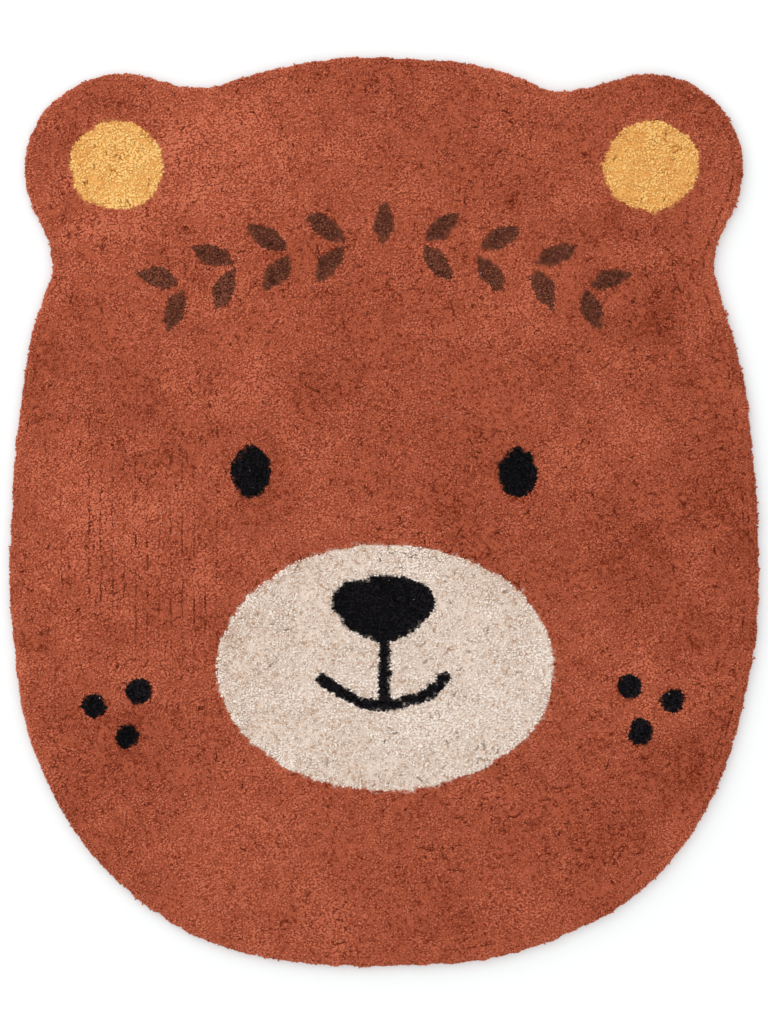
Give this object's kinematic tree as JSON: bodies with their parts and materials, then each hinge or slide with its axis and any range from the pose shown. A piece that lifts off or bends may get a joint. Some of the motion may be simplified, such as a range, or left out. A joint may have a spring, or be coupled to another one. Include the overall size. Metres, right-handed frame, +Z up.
{
  "type": "kids rug",
  "caption": "Flat tufted kids rug with soft cut pile, cut to the outline of a bear's head with round ears; lies on its flat underside.",
  "frame": {"origin": "middle of the flat underside, on the floor", "axes": "+Z up out of the pile, +Y from the chin to the crown of the head, +X to the right as the face is looked at from above"},
  "size_m": [0.99, 1.2, 0.017],
  "materials": {
    "rust_pile": "matt cut cotton pile, rust red",
    "cream_pile": "matt cut cotton pile, cream",
    "black_pile": "matt cut cotton pile, black",
    "mustard_pile": "matt cut cotton pile, mustard yellow",
    "brown_pile": "matt cut cotton pile, dark brown",
    "backing": "plain woven cotton canvas, unbleached"
  },
  "bodies": {
    "root": {"rug": "rust_pile"}
  },
  "joints": []
}
